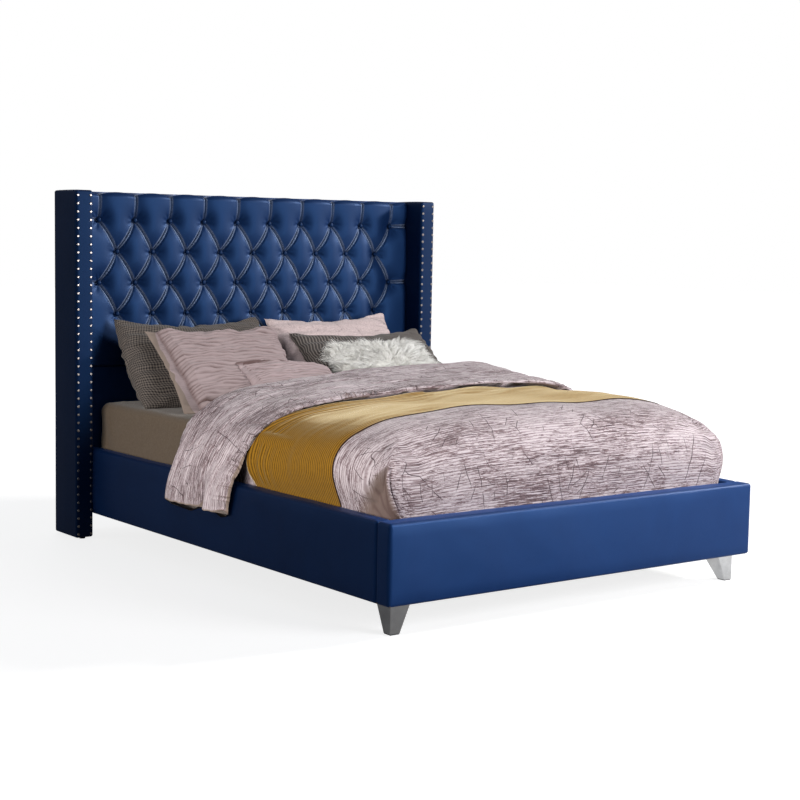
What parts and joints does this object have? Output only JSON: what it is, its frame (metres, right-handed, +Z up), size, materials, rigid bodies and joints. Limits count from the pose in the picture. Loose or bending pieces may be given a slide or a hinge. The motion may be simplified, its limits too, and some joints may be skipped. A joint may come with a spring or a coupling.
{
  "type": "upholstered platform bed",
  "caption": "Queen upholstered platform bed with a diamond-tufted headboard between nail-trimmed wings, slatted base, tapered front legs, and made-up mattress and pillows.",
  "frame": {"origin": "on the floor, under the middle of the bed's outline", "axes": "+Z up, +Y towards the headboard, +X to the right as seen from the foot"},
  "size_m": [1.828, 2.24, 1.422],
  "materials": {
    "velvet": "matte",
    "timber": "matte",
    "plywood": "matte",
    "slat_wood": "satin",
    "dust_cloth": "matte",
    "black_steel": "satin",
    "zinc_steel": "satin",
    "leg_chrome": "polished",
    "nail_chrome": "polished",
    "black_plastic": "matte",
    "mattress_ticking": "matte",
    "sheet_cotton": "matte",
    "duvet_cotton": "matte",
    "throw_knit": "matte",
    "waffle_cotton": "matte",
    "ruched_pink": "matte",
    "pink_linen": "matte",
    "striped_grey": "matte",
    "faux_fur": "matte"
  },
  "bodies": {
    "bed": {"headboard_tufted_pad": "velvet", "headboard_lower_pad": "velvet", "headboard_buttons": "velvet", "headboard_panel": "plywood", "headboard_back_cover": "dust_cloth", "headboard_stile_left": "timber", "headboard_stile_right": "timber", "headboard_top_rail": "timber", "headboard_middle_rail": "timber", "headboard_bottom_rail": "timber", "wing_core_left": "timber", "wing_core_right": "timber", "wing_cover_left": "velvet", "wing_cover_right": "velvet", "wing_nails_left": "nail_chrome", "wing_nails_right": "nail_chrome", "wing_glides": "black_plastic", "wing_bolts": "zinc_steel", "footboard_core": "timber", "footboard_cover": "velvet", "side_rail_core_left": "timber", "side_rail_core_right": "timber", "side_rail_cover_left": "velvet", "side_rail_cover_right": "velvet", "slat_ledge_left": "timber", "slat_ledge_right": "timber", "corner_brackets": "black_steel", "bracket_bolts": "zinc_steel", "corner_block_left": "timber", "corner_block_right": "timber", "front_leg_left": "leg_chrome", "front_leg_right": "leg_chrome", "leg_plates": "black_steel", "leg_bolts": "zinc_steel", "leg_glides": "black_plastic", "slats": "slat_wood", "slat_tapes": "dust_cloth", "centre_beam": "timber", "beam_hangers": "black_steel", "hanger_screws": "zinc_steel", "centre_leg_1": "black_plastic", "centre_leg_2": "black_plastic", "centre_leg_3": "black_plastic", "centre_leg_bolts": "zinc_steel", "mattress": "mattress_ticking", "fitted_sheet": "sheet_cotton", "duvet": "duvet_cotton", "duvet_turned_back": "duvet_cotton", "throw_blanket": "throw_knit", "pillow_rear_left": "waffle_cotton", "pillow_middle_left": "ruched_pink", "pillow_front_left": "ruched_pink", "pillow_rear_right": "pink_linen", "pillow_middle_right": "striped_grey", "pillow_front_right": "faux_fur"},
    "levelling_foot_1": {"levelling_foot_1": "black_plastic"},
    "levelling_foot_2": {"levelling_foot_2": "black_plastic"},
    "levelling_foot_3": {"levelling_foot_3": "black_plastic"}
  },
  "joints": [
    {"name": "centre_foot_1_thread", "type": "slide", "parent": "bed", "child": "levelling_foot_1", "axis": [0, 0, 1], "range_m": [-0.015, 0]},
    {"name": "centre_foot_2_thread", "type": "slide", "parent": "bed", "child": "levelling_foot_2", "axis": [0, 0, 1], "range_m": [-0.015, 0]},
    {"name": "centre_foot_3_thread", "type": "slide", "parent": "bed", "child": "levelling_foot_3", "axis": [0, 0, 1], "range_m": [-0.015, 0]}
  ]
}
